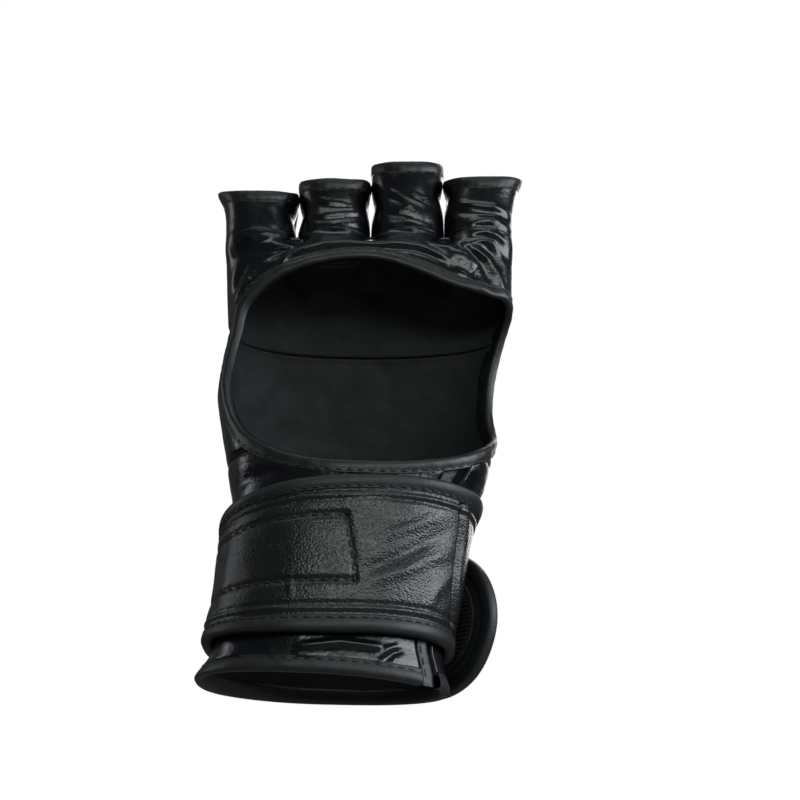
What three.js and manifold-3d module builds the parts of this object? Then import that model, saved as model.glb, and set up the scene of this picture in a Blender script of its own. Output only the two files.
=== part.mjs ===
// Open-palm grappling glove for a right hand, held in the shape that it has when worn.
// The wrist's hollow opens downwards at z = 0, the fingers point up, the palm faces -Y and the thumb side is +X.
// Leather walls are laid round one body whose level sections change from the wrist to the knuckles.
import * as THREE from "three";
import Module from "manifold-3d";

// Driving sizes, in millimetres.
const WEB_HEIGHT = 162; // from the mouth of the cuff to the web between the fingers
const WRIST_WIDTH = 65; // hollow inside the cuff
const WRIST_DEPTH = 53;
const HAND_SHIFT = 13.3; // how far the knuckles stand towards the thumb from above the middle of the mouth
const PALM_WIDTH = 99; // hollow across the knuckles
const PALM_DEPTH = 30;
const PALM_LIFT = 4; // how far the knuckles and fingers stand back from the wrist's axis
const LEATHER = 2.2;
const CLEARANCE = 0.35; // between pieces that are sewn together
const TAPE_WIDTH = 5; // binding along the edges
const TAPE_RAISE = 0.5; // how far a binding stands off the leather, on either face
const CUFF_SEAM = 74; // height of the seam between the cuff and the back of the hand
const KNUCKLE_SEAM = 126; // height of the seam below the knuckles
const MOUTH_RISE = 5; // the mouth is this much higher on the little-finger side
const SLIT_WIDTH = 3; // opening of the cuff beside the thumb
const STRAP_WIDTH = 37; // between its bindings
const STRAP_THICKNESS = 2.6;
const STRAP_START_HEIGHT = 37; // middle of the strap where it is sewn on
const STRAP_END_HEIGHT = 29; // middle of the strap at its free end
const STRAP_WAIST = 3.5; // how much each edge of the strap draws in on the little-finger side
const FLAP_LENGTH = 19; // straight free end of the strap, without its binding
const PATCH_THICKNESS = 1.2;
const LOOP_REACH = 29; // from the web to the front rim of the longest finger loop
const LOOP_DEPTH = 27;
const LOOP_GAP = 2.5; // widest slit between two loops, past their seams
const LOOP_FLARE = 4.5; // how far the outer loops spread at the rim
const RIM_SLOPE = 0.5; // rise of a loop's rim towards the back, in mm for each mm
const RIM_TAPE = 6;
const RIM_RAISE = 0.3;
const HAND_PAD = 9; // foam over the back of the hand
const KNUCKLE_PAD = 13;
const FINGER_PAD = 11;
const PAD_MARGIN = { low: 3, seam: 1 }; // from the pads to the seams below them and between them
const PATCH_INSET = 1.5; // from the hook patch to the strap's outline
const FOLD_HEIGHT = 1.1; // height of the tallest folds in the leather
const PLUG_MARGIN = 2; // how far the plug that cuts the opening stands past the leather

// Angles round the glove, in degrees from the thumb side, with -90 at the palm and 90 at the back of the hand.
const SLIT_AT = { mouth: -41, seam: -51 }; // front edge of the cuff's slit
const STRAP_FROM = 20; // where the strap is sewn on
const STRAP_LEAVES = -320; // where its free end leaves the wrist
const PALM_JOIN = -8; // where the two lengths of the opening's binding meet beside the index finger
const HEEL_JOIN = -112; // and where they meet at the heel of the hand
const PAD_EDGE = { hand: 40, knuckles: 32, finger: 24 };
const PAD_RIM = 0.35; // share of a pad's thickness that its edge has
const LOOP_VALLEY = 0.55; // share of a loop's half depth that is left between two fingers

// Shares of the strap's way round the wrist over which it narrows, widens, climbs on its start and straightens.
const STRAP_TURNS = { narrow: [0.3, 0.6], widen: [0.7, 0.95], climb: [0.72, 1], straighten: [0.85, 1] };

// Level sections. up is a share of WEB_HEIGHT, wide and thin go from the wrist's size at 0 to the palm's at 1,
// and shift is a share of HAND_SHIFT.
const SECTIONS = [
  { up: 0.0, wide: 0.23, thin: 0.0, shift: 0.0 },
  { up: 0.025, wide: 0.19, thin: 0.0, shift: 0.04 },
  { up: 0.08, wide: 0.0, thin: 0.0, shift: 0.16 },
  { up: 0.19, wide: 0.02, thin: 0.0, shift: 0.37 },
  { up: 0.27, wide: 0.06, thin: 0.0, shift: 0.48 },
  { up: 0.33, wide: 0.11, thin: 0.0, shift: 0.59 },
  { up: 0.375, wide: 0.2, thin: 0.02, shift: 0.68 },
  { up: 0.42, wide: 0.39, thin: 0.06, shift: 0.8 },
  { up: 0.49, wide: 0.54, thin: 0.18, shift: 0.82 },
  { up: 0.62, wide: 0.79, thin: 0.5, shift: 0.84 },
  { up: 0.71, wide: 0.82, thin: 0.72, shift: 0.94 },
  { up: 0.77, wide: 0.82, thin: 0.83, shift: 1.01 },
  { up: 0.86, wide: 0.9, thin: 0.95, shift: 1.02 },
  { up: 1.0, wide: 1.0, thin: 1.0, shift: 1.0 },
];
const SQUARENESS = 2.3; // 2 would make each section an ellipse

// Edge of the palm and thumb opening, once round it: around is an angle, up a share of WEB_HEIGHT.
const OPENING = [
  { around: -90, up: 0.907 },
  { around: -74, up: 0.878 },
  { around: -58, up: 0.848 },
  { around: -38, up: 0.838 },
  { around: -12, up: 0.838 },
  { around: 10, up: 0.795 },
  { around: 22, up: 0.71 },
  { around: 22, up: 0.62 },
  { around: 8, up: 0.548 },
  { around: -12, up: 0.502 },
  { around: -32, up: 0.46 },
  { around: -54, up: 0.425 },
  { around: -78, up: 0.408 },
  { around: -105, up: 0.417 },
  { around: -127, up: 0.455 },
  { around: -146, up: 0.52 },
  { around: -154, up: 0.6 },
  { around: -156, up: 0.7 },
  { around: -151, up: 0.79 },
  { around: -134, up: 0.85 },
  { around: -111, up: 0.893 },
];
const OPENING_MIDDLE = { around: -66, up: 0.65 };

// Finger loops from the little finger to the index finger: share is of the whole width, reach of LOOP_REACH.
const FINGERS = [
  { name: "little", share: 0.247, reach: 0.57 },
  { name: "ring", share: 0.256, reach: 0.74 },
  { name: "middle", share: 0.256, reach: 1.0 },
  { name: "index", share: 0.241, reach: 0.77 },
];

// Slits between neighbouring loops, in the same order: up and long are shares of LOOP_REACH, wide of LOOP_GAP.
const SLITS = [
  { up: 0.4, long: 0.19, wide: 1.0 },
  { up: 0.56, long: 0.2, wide: 0.7 },
  { up: 0.67, long: 0.16, wide: 0.75 },
];

// Folds across the front of the loops and of the palm band. up is a share of the piece's height, across of its width
// from the little-finger side, long and wide are the fold's half sizes in the same shares, height is of FOLD_HEIGHT.
const LOOP_FOLDS = [
  { finger: "little", up: 0.3, across: 0.68, long: 0.25, wide: 0.13, height: 0.8 },
  { finger: "little", up: 0.75, across: 0.55, long: 0.4, wide: 0.12, height: 0.5 },
  { finger: "ring", up: 0.35, across: 0.62, long: 0.3, wide: 0.12, height: 0.8 },
  { finger: "ring", up: 0.7, across: 0.6, long: 0.34, wide: 0.11, height: 0.8 },
  { finger: "middle", up: 0.3, across: 0.6, long: 0.3, wide: 0.1, height: 0.8 },
  { finger: "middle", up: 0.62, across: 0.5, long: 0.36, wide: 0.12, height: 1.0 },
  { finger: "index", up: 0.28, across: 0.62, long: 0.3, wide: 0.1, height: 0.9 },
  { finger: "index", up: 0.56, across: 0.66, long: 0.3, wide: 0.1, height: 1.0 },
  { finger: "index", up: 0.82, across: 0.6, long: 0.36, wide: 0.09, height: 0.8 },
];
const BAND_FOLDS = [
  { up: 0.5, across: 0.42, long: 0.22, wide: 0.24, height: 1.0 },
  { up: 0.45, across: 0.73, long: 0.1, wide: 0.2, height: 0.9 },
  { up: 0.5, across: 0.13, long: 0.06, wide: 0.3, height: 0.7 },
];

// Facets: how many steps each kind of piece takes round the glove, along its length or up.
const STEPS = { round: 40, band: 24, strap: 40, flapRound: 12, loop: 20, edge: 72, rise: 5, pad: 10, backPad: 16 };

const { lerp, smoothstep, degToRad } = THREE.MathUtils;
const wasm = await Module();
wasm.setup();

// Value of one column of a table at a height share, on a smooth curve through its rows.
function track(rows, key, at) {
  const next = rows.findIndex((row) => row.up > at);
  if (next === 0) return rows[0][key];
  if (next < 0) return rows.at(-1)[key];
  const [a, b] = [rows[Math.max(next - 2, 0)], rows[next - 1]];
  const [c, d] = [rows[next], rows[Math.min(next + 1, rows.length - 1)]];
  const span = c.up - b.up;
  const t = (at - b.up) / span;
  const leave = ((c[key] - a[key]) / (c.up - a.up)) * span;
  const arrive = ((d[key] - b[key]) / (d.up - b.up)) * span;
  const turn = 2 * (b[key] - c[key]) + leave + arrive;
  const bend = 3 * (c[key] - b[key]) - 2 * leave - arrive;
  return ((turn * t + bend) * t + leave) * t + b[key];
}

// Point of a rounded section at an angle, with half sizes width and depth round the centre (x, y).
function rounded(x, y, width, depth, around, z) {
  const [c, s] = [Math.cos(degToRad(around)), Math.sin(degToRad(around))];
  const power = 2 / SQUARENESS;
  return new THREE.Vector3(
    x + width * Math.sign(c) * Math.abs(c) ** power,
    y + depth * Math.sign(s) * Math.abs(s) ** power,
    z,
  );
}

// The hand's body: a point that stands out mm off its hollow.
function body(around, z, out) {
  const up = z / WEB_HEIGHT;
  const thin = track(SECTIONS, "thin", up);
  const width = lerp(WRIST_WIDTH, PALM_WIDTH, track(SECTIONS, "wide", up));
  const depth = lerp(WRIST_DEPTH, PALM_DEPTH, thin);
  const x = HAND_SHIFT * track(SECTIONS, "shift", up);
  return rounded(x, PALM_LIFT * thin, width / 2 + out, depth / 2 + out, around, z);
}

// Degrees round the body that a length in mm takes at an angle and height.
function turnOf(length, around, z) {
  return length / body(around + 0.5, z, LEATHER).distanceTo(body(around - 0.5, z, LEATHER));
}

// A closed geometry from points and triangles, with its faces turned outwards.
function closedGeometry(points, index) {
  const corner = (k) => points[index[k]];
  let volume = 0;
  for (let k = 0; k < index.length; k += 3) {
    volume += corner(k).dot(corner(k + 1).clone().cross(corner(k + 2)));
  }
  if (volume < 0) index.reverse();
  return new THREE.BufferGeometry().setFromPoints(points).setIndex(index);
}

// A wall between two faces, each a grid of points [step][row]. A ring joins its last step to its first.
function wall(face, back, ring = false) {
  const [steps, rows] = [face.length, face[0].length];
  const at = (side, i, j) => side * steps * rows + (i % steps) * rows + j;
  const index = [];
  const quad = (a, b, c, d) => index.push(a, b, c, a, c, d);
  for (let i = 0; i < (ring ? steps : steps - 1); i++) {
    for (let j = 0; j < rows - 1; j++) {
      quad(at(0, i, j), at(0, i + 1, j), at(0, i + 1, j + 1), at(0, i, j + 1));
      quad(at(1, i, j), at(1, i, j + 1), at(1, i + 1, j + 1), at(1, i + 1, j));
    }
    quad(at(0, i, 0), at(1, i, 0), at(1, i + 1, 0), at(0, i + 1, 0));
    quad(at(0, i, rows - 1), at(0, i + 1, rows - 1), at(1, i + 1, rows - 1), at(1, i, rows - 1));
  }
  for (let j = 0; j < rows - 1 && !ring; j++) {
    quad(at(0, 0, j), at(0, 0, j + 1), at(1, 0, j + 1), at(1, 0, j));
    quad(at(0, steps - 1, j), at(1, steps - 1, j), at(1, steps - 1, j + 1), at(0, steps - 1, j + 1));
  }
  return closedGeometry([...face.flat(), ...back.flat()], index);
}

// A wall from a function of two shares and the face, which is 1 outside and 0 inside.
function sheet(steps, rows, point, ring = false) {
  const count = steps + (ring ? 0 : 1);
  const face = (side) =>
    Array.from({ length: count }, (_, i) =>
      Array.from({ length: rows + 1 }, (_, j) => point(i / steps, j / rows, side)),
    );
  return wall(face(1), face(0), ring);
}

// Takes one closed geometry away from another.
function cut(geometry, cutter) {
  const solid = (g) =>
    new wasm.Manifold(
      new wasm.Mesh({
        numProp: 3,
        vertProperties: new Float32Array(g.attributes.position.array),
        triVerts: new Uint32Array(g.index.array),
      }),
    );
  const left = solid(geometry).subtract(solid(cutter)).getMesh();
  const result = new THREE.BufferGeometry();
  result.setAttribute("position", new THREE.BufferAttribute(left.vertProperties, 3));
  return result.setIndex(new THREE.BufferAttribute(left.triVerts, 1));
}

// The edge of the opening as a smooth line once round, moved reach mm into the leather.
function openingEdge(reach) {
  const corners = OPENING.map((row) => new THREE.Vector3(row.around, row.up * WEB_HEIGHT, 0));
  const line = new THREE.CatmullRomCurve3(corners, true);
  return Array.from({ length: STEPS.edge }, (_, k) => {
    const p = line.getPoint(k / STEPS.edge);
    const step = line.getTangent(k / STEPS.edge);
    const perDegree = body(p.x + 0.5, p.y, 0).sub(body(p.x - 0.5, p.y, 0));
    const perRise = body(p.x, p.y + 0.5, 0).sub(body(p.x, p.y - 0.5, 0));
    const along = perDegree.clone().multiplyScalar(step.x).addScaledVector(perRise, step.y);
    const normal = perDegree.clone().cross(perRise);
    const away = along.cross(normal).setLength(reach);
    const [aa, bb, ab] = [perDegree.dot(perDegree), perRise.dot(perRise), perDegree.dot(perRise)];
    const [a, b] = [away.dot(perDegree), away.dot(perRise)];
    const scale = -1 / (aa * bb - ab * ab);
    return { around: p.x + scale * (a * bb - b * ab), z: p.y + scale * (b * aa - a * ab) };
  });
}

// A plug that fills the opening out to a line, from low to high mm off the hollow.
function openingPlug(line, low, high) {
  const rings = 9;
  const middle = { around: OPENING_MIDDLE.around, z: OPENING_MIDDLE.up * WEB_HEIGHT };
  const face = (out) => [
    body(middle.around, middle.z, out),
    ...Array.from({ length: rings }, (_, ring) =>
      line.map((p) => {
        const share = (ring + 1) / rings;
        return body(lerp(middle.around, p.around, share), lerp(middle.z, p.z, share), out);
      }),
    ).flat(),
  ];
  const count = line.length;
  const side = 1 + rings * count;
  const at = (back, ring, k) => back * side + 1 + ring * count + (k % count);
  const index = [];
  const quad = (a, b, c, d) => index.push(a, b, c, a, c, d);
  for (let k = 0; k < count; k++) {
    index.push(0, at(0, 0, k), at(0, 0, k + 1), side, at(1, 0, k + 1), at(1, 0, k));
    for (let ring = 0; ring < rings - 1; ring++) {
      quad(at(0, ring, k), at(0, ring + 1, k), at(0, ring + 1, k + 1), at(0, ring, k + 1));
      quad(at(1, ring, k), at(1, ring, k + 1), at(1, ring + 1, k + 1), at(1, ring + 1, k));
    }
    const last = rings - 1;
    quad(at(0, last, k), at(1, last, k), at(1, last, k + 1), at(0, last, k + 1));
  }
  return closedGeometry([...face(high), ...face(low)], index);
}

const edge = openingEdge(0);
const tapeRim = openingEdge(TAPE_WIDTH);
const sewnEdge = openingEdge(TAPE_WIDTH + CLEARANCE);
const plug = openingPlug(sewnEdge, -PLUG_MARGIN, LEATHER + FOLD_HEIGHT + PLUG_MARGIN);

// Height of the leather's edge below the opening at an angle.
function heelHeight(around) {
  const heights = sewnEdge.map((p, k) => {
    const q = sewnEdge[(k + 1) % sewnEdge.length];
    const inside = (p.around - around) * (q.around - around) <= 0 && p.around !== q.around;
    return inside ? lerp(p.z, q.z, (around - p.around) / (q.around - p.around)) : Infinity;
  });
  return Math.min(...heights);
}

// Height of the cuff's mouth at an angle: lowest at the slit.
function mouth(around) {
  const turned = (1 - Math.cos(degToRad(around - SLIT_AT.mouth))) / 2;
  return MOUTH_RISE * turned ** 0.6;
}

// Angle of the slit's front edge at a height.
function slitAt(z) {
  return lerp(SLIT_AT.mouth, SLIT_AT.seam, z / CUFF_SEAM);
}

const glove = new THREE.Group();
const leather = { color: 0x0b0c0e, roughness: 0.42, metalness: 0 };
const binding = { color: 0x101113, roughness: 0.5, metalness: 0 };
const hook = { color: 0x060606, roughness: 0.95, metalness: 0 };

function add(name, geometry, finish) {
  const mesh = new THREE.Mesh(geometry, new THREE.MeshStandardMaterial(finish));
  mesh.name = name;
  glove.add(mesh);
}

// How far a binding stands off the hollow, a little more along its middle.
function tapeOut(across, side) {
  const raise = TAPE_RAISE * (across === 0.5 ? 1 : 0.5);
  return side ? LEATHER + raise : -raise;
}

// The cuff goes once round the wrist, from the taped edge of its slit to the slit's other side.
const cuffTurn = 360 - turnOf(TAPE_WIDTH + 2 * CLEARANCE + SLIT_WIDTH, SLIT_AT.seam, CUFF_SEAM / 2);
const cuff = sheet(STEPS.round, STEPS.rise + 1, (u, v, side) => {
  const low = mouth(SLIT_AT.mouth - u * cuffTurn) + TAPE_WIDTH + CLEARANCE;
  const z = lerp(low, CUFF_SEAM, v);
  return body(slitAt(z) - u * cuffTurn, z, side * LEATHER);
});
add("cuff", cut(cuff, plug), leather);
const cuffHem = sheet(STEPS.round, 2, (u, v, side) => {
  const low = mouth(SLIT_AT.mouth - u * cuffTurn);
  const z = low + v * TAPE_WIDTH;
  return body(slitAt(z) - u * cuffTurn, z, tapeOut(v, side));
});
add("cuff_hem", cuffHem, binding);
const slitTape = sheet(STEPS.rise + 2, 2, (u, v, side) => {
  const turn = turnOf(CLEARANCE + v * TAPE_WIDTH, SLIT_AT.seam, CUFF_SEAM / 2);
  const z = u * heelHeight(SLIT_AT.seam + turn);
  return body(slitAt(z) + turn, z, tapeOut(v, side));
});
add("slit_tape", slitTape, binding);

// The back of the hand.
const handRing = sheet(
  STEPS.round,
  STEPS.rise,
  (u, v, side) => body(360 * u, lerp(CUFF_SEAM + CLEARANCE, KNUCKLE_SEAM, v), side * LEATHER),
  true,
);
add("hand_back", cut(handRing, plug), leather);

// How far a loop draws in at a height from the line between it and its neighbour.
function drawIn(slit, z) {
  const away = ((z - WEB_HEIGHT) / LOOP_REACH - slit.up) / slit.long;
  return CLEARANCE / 2 + RIM_RAISE + (LOOP_GAP / 2) * slit.wide * Math.exp(-(away * away));
}

// Extents of a finger loop at a height and a share of its own height: its middle, and half its width outside.
const loopsWidth = PALM_WIDTH + 2 * LEATHER;
const loopsMiddle = HAND_SHIFT * SECTIONS.at(-1).shift;
function loopWidth(finger, z, up) {
  const place = FINGERS.indexOf(finger);
  const before = FINGERS.slice(0, place).reduce((sum, other) => sum + other.share, 0);
  const flare = -LOOP_FLARE * up ** 3;
  const low = place === 0 ? flare : drawIn(SLITS[place - 1], z);
  const high = place === FINGERS.length - 1 ? flare : drawIn(SLITS[place], z);
  const left = loopsMiddle + loopsWidth * (before - 0.5) + low;
  const right = loopsMiddle + loopsWidth * (before + finger.share - 0.5) - high;
  return { x: (left + right) / 2, half: (right - left) / 2 };
}

// Height of a loop's rim at an angle: it rises towards the back.
function rim(finger, around) {
  const back = (LOOP_DEPTH / 2) * (1 + Math.sin(degToRad(around)));
  return WEB_HEIGHT + finger.reach * LOOP_REACH + RIM_SLOPE * back;
}

// How far the folds of a table lift the leather at a share of the height and of the width.
function foldsAt(folds, up, across) {
  return folds.reduce((sum, fold) => {
    const [u, v] = [(across - fold.across) / fold.long, (up - fold.up) / fold.wide];
    return sum + FOLD_HEIGHT * fold.height * Math.exp(-u * u - v * v);
  }, 0);
}

// A point of a finger loop that stands out mm off its hollow.
function loop(finger, around, z, out) {
  const up = (z - WEB_HEIGHT) / (rim(finger, around) - WEB_HEIGHT);
  const { x, half } = loopWidth(finger, z, up);
  const folds = LOOP_FOLDS.filter((fold) => fold.finger === finger.name);
  const front = smoothstep(-Math.sin(degToRad(around)), 0, 0.6);
  const lift = front * foldsAt(folds, up, 0.5 + 0.5 * Math.cos(degToRad(around)));
  const grow = out - LEATHER;
  return rounded(x, PALM_LIFT, half + grow, LOOP_DEPTH / 2 + grow + lift, around, z);
}

// How far the row of loops stands at x from the knuckles' middle plane, with a valley between two fingers.
function loopsReach(x, out) {
  const reaches = FINGERS.map((finger) => {
    const { x: middle, half } = loopWidth(finger, WEB_HEIGHT, 0);
    const share = Math.min(Math.abs(x - middle) / (half + out - LEATHER), 1);
    return (LOOP_DEPTH / 2 + out - LEATHER) * (1 - share ** SQUARENESS) ** (1 / SQUARENESS);
  });
  const between = Math.abs(x - loopsMiddle) < loopsWidth * (0.5 - FINGERS[0].share / 2);
  return Math.max(...reaches, between ? LOOP_VALLEY * (LOOP_DEPTH / 2) + out - LEATHER : 0);
}

// The body near the fingers, where it takes the shape of the row of loops up to the web. On the back of the hand
// it only draws in, because the knuckle pad lies over it.
const bandLift = WEB_HEIGHT - Math.max(...sewnEdge.map((p) => p.z)); // height over which it takes that shape
function knuckles(around, z, out, lift = 0) {
  const point = body(around, z, out + lift);
  const front = PALM_LIFT + Math.sign(around) * loopsReach(point.x, out);
  const y = lerp(point.y, front, smoothstep(z, WEB_HEIGHT - bandLift, WEB_HEIGHT));
  point.y = around > 0 ? Math.min(point.y, y) : y;
  return point;
}

// The leather over the knuckles, and the palm band from the opening to the web.
const seamTurn = turnOf(CLEARANCE, 0, WEB_HEIGHT) / 2;
const knuckleBack = sheet(STEPS.band + 4, 4, (u, v, side) => {
  const z = lerp(KNUCKLE_SEAM + CLEARANCE, WEB_HEIGHT, v);
  return knuckles(lerp(seamTurn, 180 - seamTurn, u), z, side * LEATHER);
});
add("knuckle_back", cut(knuckleBack, plug), leather);
const palmBand = sheet(2 * STEPS.band, STEPS.rise, (u, v, side) => {
  const around = lerp(-180 + seamTurn, -seamTurn, u);
  const lift = foldsAt(BAND_FOLDS, v, 0.5 + 0.5 * Math.cos(degToRad(around)));
  return knuckles(around, lerp(KNUCKLE_SEAM + CLEARANCE, WEB_HEIGHT, v), side * LEATHER, lift);
});
add("palm_band", cut(palmBand, plug), leather);

// Binding of the opening, in two lengths that meet beside the index finger and at the heel of the hand.
function openingTape(from, to) {
  const count = (to - from + edge.length) % edge.length;
  return sheet(count, 2, (u, v, side) => {
    const k = (from + Math.round(u * count)) % edge.length;
    const around = lerp(edge[k].around, tapeRim[k].around, v);
    return body(around, lerp(edge[k].z, tapeRim[k].z, v), tapeOut(v, side));
  });
}
function nearestStep(around, isUpper) {
  const middle = OPENING_MIDDLE.up * WEB_HEIGHT;
  const distance = (p) => (p.z > middle === isUpper ? Math.abs(p.around - around) : Infinity);
  return edge.reduce((best, p, k) => (distance(p) < distance(edge[best]) ? k : best), 0);
}
const indexStep = nearestStep(PALM_JOIN, true);
const heelStep = nearestStep(HEEL_JOIN, false);
add("palm_tape", openingTape(heelStep, indexStep), binding);
add("heel_tape", openingTape(indexStep, heelStep), binding);

// A crowned pad on a base: its thickness grows from its edge to its middle.
function pad(steps, thickness, base) {
  const bulge = (share) => 1 - Math.abs(2 * share - 1) ** 3;
  return sheet(steps, STEPS.rise, (u, v, side) => {
    const point = base(u, v);
    point.y += side * thickness * lerp(PAD_RIM, 1, Math.sqrt(bulge(u) * bulge(v)));
    return point;
  });
}
function backPad(low, high, from, thickness) {
  const seat = LEATHER + CLEARANCE;
  return pad(STEPS.backPad, thickness, (u, v) => body(lerp(from, 180 - from, u), lerp(low, high, v), seat));
}
const handPad = backPad(CUFF_SEAM + PAD_MARGIN.low, KNUCKLE_SEAM - PAD_MARGIN.seam, PAD_EDGE.hand, HAND_PAD);
add("hand_pad", handPad, leather);
const knucklePad = backPad(KNUCKLE_SEAM + PAD_MARGIN.seam, WEB_HEIGHT, PAD_EDGE.knuckles, KNUCKLE_PAD);
add("knuckle_pad", knucklePad, leather);

// Finger loops, each with a binding round its rim and a pad on its back.
FINGERS.forEach((finger) => {
  const tube = sheet(
    STEPS.loop,
    STEPS.rise + 1,
    (u, v, side) => {
      const high = rim(finger, 360 * u) - RIM_TAPE - CLEARANCE;
      return loop(finger, 360 * u, lerp(WEB_HEIGHT + CLEARANCE, high, v), side * LEATHER);
    },
    true,
  );
  add(finger.name + "_loop", tube, leather);
  const rimTape = sheet(
    STEPS.loop,
    1,
    (u, v, side) => {
      const out = side ? LEATHER + RIM_RAISE : -RIM_RAISE;
      return loop(finger, 360 * u, rim(finger, 360 * u) - (1 - v) * RIM_TAPE, out);
    },
    true,
  );
  add(finger.name + "_rim", rimTape, binding);
  const fingerPad = pad(STEPS.pad, FINGER_PAD, (u, v) => {
    const around = lerp(PAD_EDGE.finger, 180 - PAD_EDGE.finger, u);
    const z = lerp(WEB_HEIGHT + PAD_MARGIN.seam, rim(finger, around), v);
    return loop(finger, around, z, LEATHER + RIM_RAISE + CLEARANCE);
  });
  add(finger.name + "_pad", fingerPad, leather);
});

// The strap starts beside the thumb, crosses the palm side, goes round the back and leaves it on a straight line.
const strapIn = LEATHER + TAPE_RAISE + CLEARANCE;
const strapLift = STRAP_THICKNESS + TAPE_RAISE + CLEARANCE; // the free end passes over the start
const strapEndIn = strapIn + strapLift;
const woundLength = Math.PI * (WRIST_WIDTH / 2 + WRIST_DEPTH / 2 + 2 * strapIn) * ((STRAP_FROM - STRAP_LEAVES) / 360);
const strapRound = STRAP_WIDTH / 2;
const strapTotal = woundLength + FLAP_LENGTH;
const leavePoint = (turn) => body(STRAP_LEAVES + turn, STRAP_END_HEIGHT, strapEndIn);
const heading = leavePoint(0).sub(leavePoint(1)).normalize();

// A point of the strap, along its length, off its middle line and out from its inner face.
function strapPoint(along, offset, out) {
  const turn = Math.min(along / woundLength, 1);
  const { narrow, widen, climb, straighten } = STRAP_TURNS;
  const around = lerp(STRAP_FROM, STRAP_LEAVES, turn);
  const waist = STRAP_WAIST * smoothstep(turn, ...narrow) * (1 - smoothstep(turn, ...widen));
  const rise = offset * (1 - waist / strapRound);
  const height = lerp(STRAP_START_HEIGHT, STRAP_END_HEIGHT, turn * turn) + rise;
  const lift = strapIn + strapLift * smoothstep(turn, ...climb) + out;
  const level = height - rise * smoothstep(turn, ...straighten);
  const point = body(around, level, lift).setZ(height);
  return point.addScaledVector(heading, Math.max(along - woundLength, 0));
}

// Outline of the strap, reach mm outside its field: up its top edge, round the free end and back.
function strapLine(reach) {
  const straight = Array.from(
    { length: STEPS.strap + 1 },
    (_, k) => ((strapTotal - strapRound) * k) / STEPS.strap,
  );
  const radius = strapRound + reach;
  const bend = Array.from({ length: STEPS.flapRound - 1 }, (_, k) => {
    const angle = (Math.PI * (k + 1)) / STEPS.flapRound;
    return { along: strapTotal - strapRound + radius * Math.sin(angle), offset: radius * Math.cos(angle) };
  });
  return [
    ...straight.map((along) => ({ along, offset: radius })),
    ...bend,
    ...straight.toReversed().map((along) => ({ along, offset: -radius })),
  ];
}

// The field between the bindings, laid in rows across from the upper half of its outline to the lower half.
function strapField(low, high, inset, from) {
  const line = strapLine(-inset).filter((p) => p.along >= from);
  const half = Math.floor((line.length - 1) / 2);
  const rows = 2;
  const face = (out) =>
    Array.from({ length: half }, (_, k) =>
      Array.from({ length: rows + 1 }, (_, j) => {
        const { along, offset } = line[k];
        return strapPoint(along, lerp(offset, -offset, j / rows), out);
      }),
    );
  return wall(face(high), face(low));
}
add("strap", strapField(0, STRAP_THICKNESS, 0, 0), leather);
const tapeLines = [0, 0.5, 1].map((share) => ({ share, line: strapLine(CLEARANCE + share * TAPE_WIDTH) }));
const strapTape = (side) =>
  tapeLines[0].line.map((_, k) =>
    tapeLines.map(({ share, line }) => {
      const raise = TAPE_RAISE * (share === 0.5 ? 1 : 0.5);
      return strapPoint(line[k].along, line[k].offset, side * (STRAP_THICKNESS + raise));
    }),
  );
add("strap_tape", wall(strapTape(1), strapTape(0)), binding);
const patch = strapField(-CLEARANCE - PATCH_THICKNESS, -CLEARANCE, PATCH_INSET, woundLength + CLEARANCE);
add("hook_patch", patch, hook);

export default glove;
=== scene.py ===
"""Black leather grappling glove for a right hand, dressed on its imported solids, seen from the palm side."""
import math

import bmesh
import bpy
import numpy as np
from mathutils import Matrix, Vector


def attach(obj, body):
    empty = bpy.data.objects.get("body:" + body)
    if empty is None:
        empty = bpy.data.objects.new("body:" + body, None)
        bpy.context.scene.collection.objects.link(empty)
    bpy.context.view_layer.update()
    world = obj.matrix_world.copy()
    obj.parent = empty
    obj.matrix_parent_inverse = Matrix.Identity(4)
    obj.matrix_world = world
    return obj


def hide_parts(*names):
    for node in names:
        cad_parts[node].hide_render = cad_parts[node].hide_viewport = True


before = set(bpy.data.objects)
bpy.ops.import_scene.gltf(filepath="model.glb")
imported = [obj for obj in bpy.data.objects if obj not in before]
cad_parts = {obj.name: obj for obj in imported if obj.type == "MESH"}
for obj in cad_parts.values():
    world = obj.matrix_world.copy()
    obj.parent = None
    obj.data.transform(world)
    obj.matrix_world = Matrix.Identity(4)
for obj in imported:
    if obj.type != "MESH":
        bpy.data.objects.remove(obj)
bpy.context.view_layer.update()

scene = bpy.context.scene
MM = 0.001

# Camera, in millimetres and degrees: it stands low in front of the palm and looks up.
CAMERA_AT = np.array([24.2, -360.54, -76.33])
CAMERA_RISE = math.radians(26)
PICTURE = 800
LENS = 54
SENSOR = 36
FOCAL = LENS / SENSOR * PICTURE

# Sizes of the glove, in millimetres, as its solids have them.
WEB_HEIGHT = 162
WRIST_WIDTH = 65
WRIST_DEPTH = 53
HAND_SHIFT = 13.3
PALM_WIDTH = 99
PALM_DEPTH = 30
PALM_LIFT = 4
LEATHER = 2.2
CLEARANCE = 0.35
TAPE_WIDTH = 5
TAPE_RAISE = 0.5
CUFF_SEAM = 74
KNUCKLE_SEAM = 126
MOUTH_RISE = 5
SLIT_WIDTH = 3
STRAP_WIDTH = 37
STRAP_THICKNESS = 2.6
STRAP_START_HEIGHT = 37
STRAP_END_HEIGHT = 29
STRAP_WAIST = 3.5
FLAP_LENGTH = 19
PATCH_THICKNESS = 1.2
LOOP_REACH = 29
LOOP_DEPTH = 27
LOOP_GAP = 2.5
LOOP_FLARE = 4.5
RIM_SLOPE = 0.5
RIM_TAPE = 6
RIM_RAISE = 0.3

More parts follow.
